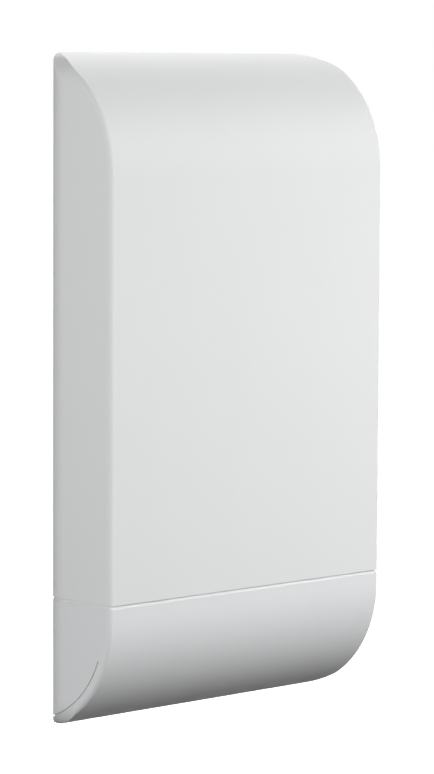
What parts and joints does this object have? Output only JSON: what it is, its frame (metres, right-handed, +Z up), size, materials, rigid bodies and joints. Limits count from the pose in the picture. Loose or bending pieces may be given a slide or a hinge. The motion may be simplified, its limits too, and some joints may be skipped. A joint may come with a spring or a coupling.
{
  "type": "outdoor wireless access point",
  "caption": "Slim white outdoor wireless access point with a flat panel antenna inside, rolled ends, and a bottom cover that slides down to open the network port bay.",
  "frame": {"origin": "middle of the flat rear face, half way up the housing", "axes": "+Z up, front faces -Y, the rear face looks along +Y, width along X"},
  "size_m": [0.108, 0.03, 0.19],
  "materials": {
    "shell_plastic": "fine satin moulded plastic, white-grey",
    "rear_plastic": "fine satin moulded plastic, white-grey",
    "cover_plastic": "fine satin moulded plastic, white-grey",
    "panel_plastic": "satin moulded plastic, light grey",
    "seal_rubber": "matt silicone",
    "circuit_board": "solder-masked glass laminate",
    "antenna_laminate": "bare glass laminate",
    "copper": "bare copper foil",
    "reflector_sheet": "rolled sheet",
    "standoff_brass": "turned, nickel-free",
    "nylon": "natural nylon",
    "tin_plate": "tinned sheet",
    "chip_epoxy": "moulded epoxy",
    "heat_pad": "soft silicone",
    "capacitor_can": "sleeved aluminium can",
    "coax_jacket": "thin extruded jacket",
    "gold_plate": "gold-plated",
    "jack_plastic": "moulded black plastic",
    "button_plastic": "moulded dark plastic",
    "switch_body": "moulded dark plastic",
    "led_package": "cast resin",
    "clear_plastic": "clear polycarbonate",
    "vent_plastic": "moulded dark plastic",
    "screw_steel": "plated steel"
  },
  "bodies": {
    "housing": {"front_shell": "shell_plastic", "rear_cover": "rear_plastic", "case_gasket": "seal_rubber", "port_panel": "panel_plastic", "main_board": "circuit_board", "antenna_board": "antenna_laminate", "antenna_patches": "copper", "reflector_plate": "reflector_sheet", "board_standoffs": "standoff_brass", "antenna_spacers": "nylon", "antenna_screws": "nylon", "board_shield_can": "tin_plate", "radio_chips": "chip_epoxy", "thermal_pad": "heat_pad", "ethernet_magnetics": "chip_epoxy", "power_capacitors": "capacitor_can", "coax_lead_left": "coax_jacket", "coax_lead_right": "coax_jacket", "coax_connectors": "gold_plate", "network_jack_left": "tin_plate", "network_jack_right": "tin_plate", "jack_inserts": "jack_plastic", "jack_contacts": "gold_plate", "reset_switch": "switch_body", "status_leds": "led_package", "light_pipes": "clear_plastic", "vent_plug": "vent_plastic", "case_screws": "screw_steel", "panel_screws": "screw_steel"},
    "cover": {"bottom_cover": "cover_plastic"},
    "button": {"reset_button": "button_plastic"}
  },
  "joints": [
    {"name": "cover_slide", "type": "slide", "parent": "housing", "child": "cover", "axis": [0, 0, -1], "range_m": [0, 0.045]},
    {"name": "reset_press", "type": "slide", "parent": "housing", "child": "button", "axis": [0, 0, 1], "range_m": [0, 0.0006], "stiffness_N_per_m": 1500, "springref_m": -0.0003}
  ]
}
